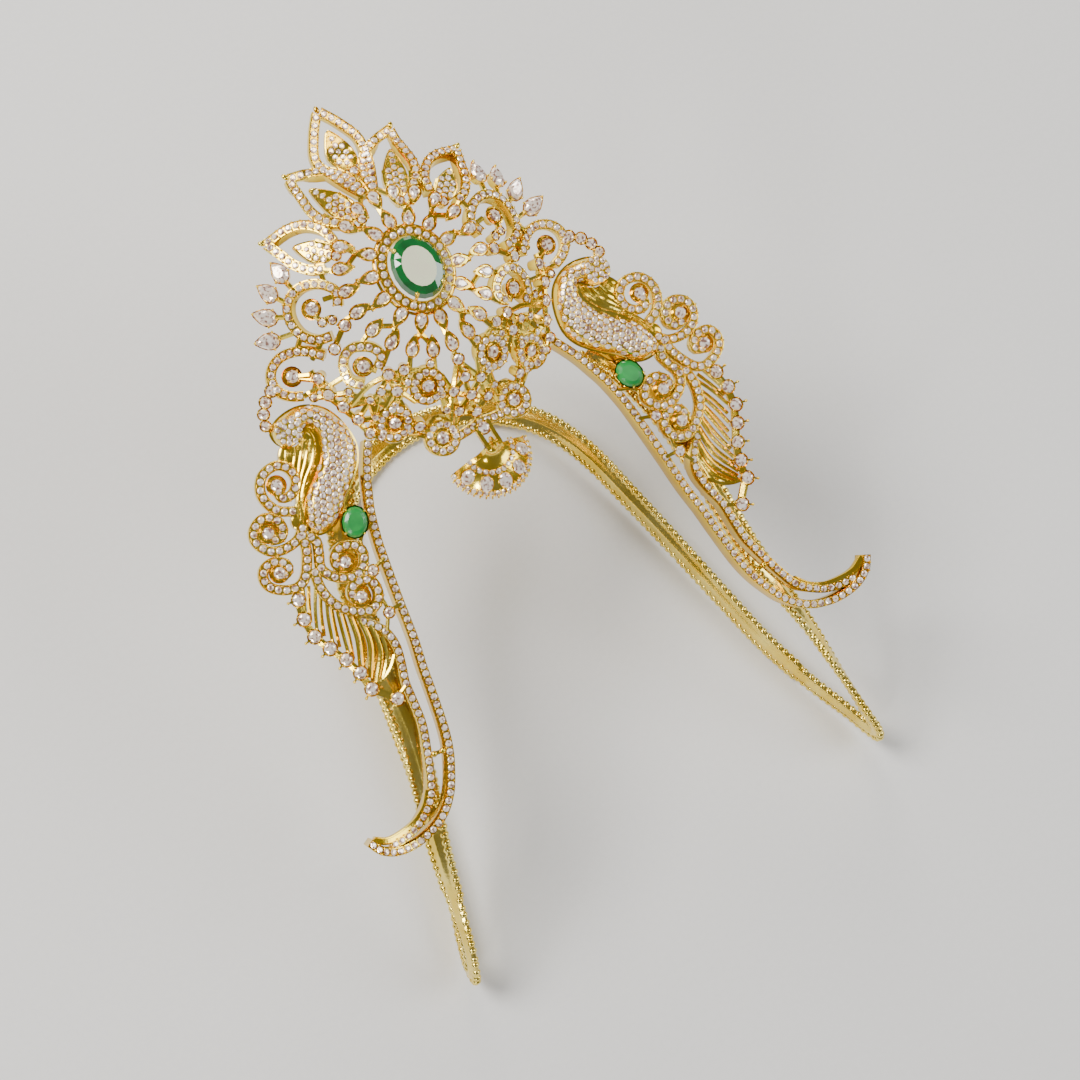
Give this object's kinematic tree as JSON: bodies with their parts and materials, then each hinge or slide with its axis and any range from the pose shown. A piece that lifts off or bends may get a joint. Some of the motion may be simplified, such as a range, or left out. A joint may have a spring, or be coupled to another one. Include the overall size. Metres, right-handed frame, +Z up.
{
  "type": "vanki armlet",
  "caption": "Upper-arm jewel: a pierced, domed gold plaque set with stones, with two hooked legs, on a flat open band that springs round the arm, and a small hanging half bell.",
  "frame": {"origin": "middle of the base of the bounding box, on the surface that the armlet lies on", "axes": "+Z up, +Y from the hooked legs towards the crest, +X across the arm to the right as seen from above"},
  "size_m": [0.1008, 0.131, 0.0698],
  "materials": {
    "gold": "polished gold plate",
    "gold_band": "polished gold plate with a rope edge",
    "green_stone": "faceted green stone",
    "clear_stone": "faceted clear stone"
  },
  "bodies": {
    "armlet": {"arm_band": "gold_band", "crest_frame": "gold", "crest_pear_01": "clear_stone", "crest_pear_02": "clear_stone", "crest_pear_03": "clear_stone", "crest_pear_04": "clear_stone", "crest_pear_05": "clear_stone", "crest_pear_06": "clear_stone", "crest_pear_07": "clear_stone", "crest_pear_08": "clear_stone", "crest_pear_09": "clear_stone", "crest_pear_10": "clear_stone", "crest_pear_11": "clear_stone", "crest_pear_12": "clear_stone", "crest_pear_13": "clear_stone", "crest_pear_14": "clear_stone", "crest_pear_15": "clear_stone", "crest_pear_16": "clear_stone", "crest_pear_17": "clear_stone", "crest_pear_18": "clear_stone", "crest_pear_19": "clear_stone", "crest_pear_20": "clear_stone", "crest_pear_21": "clear_stone", "crest_pear_22": "clear_stone", "crest_pear_23": "clear_stone", "crest_pear_24": "clear_stone", "crest_pear_25": "clear_stone", "crest_pear_26": "clear_stone", "crest_pear_27": "clear_stone", "crest_pear_28": "clear_stone", "crest_pear_29": "clear_stone", "crest_pear_30": "clear_stone", "crest_pear_31": "clear_stone", "crest_pear_32": "clear_stone", "crest_pear_33": "clear_stone", "crest_pear_34": "clear_stone", "crest_pear_35": "clear_stone", "crest_pear_36": "clear_stone", "crest_round_stones": "clear_stone", "green_oval": "green_stone", "green_side_left": "green_stone", "green_side_right": "green_stone", "halo_stones": "clear_stone", "peacock_left": "gold", "peacock_right": "gold", "side_frame_left": "gold", "side_frame_right": "gold", "side_stones_left": "clear_stone", "side_stones_right": "clear_stone", "spike_stones": "clear_stone"},
    "bell": {"bell_drop": "gold", "bell_stones": "clear_stone"}
  },
  "joints": [
    {"name": "bell_swing", "type": "hinge", "parent": "armlet", "child": "bell", "pos_m": [0, 0.00594, 0.04822], "axis": [1, 0, 0], "range_deg": [-25, 25]}
  ]
}
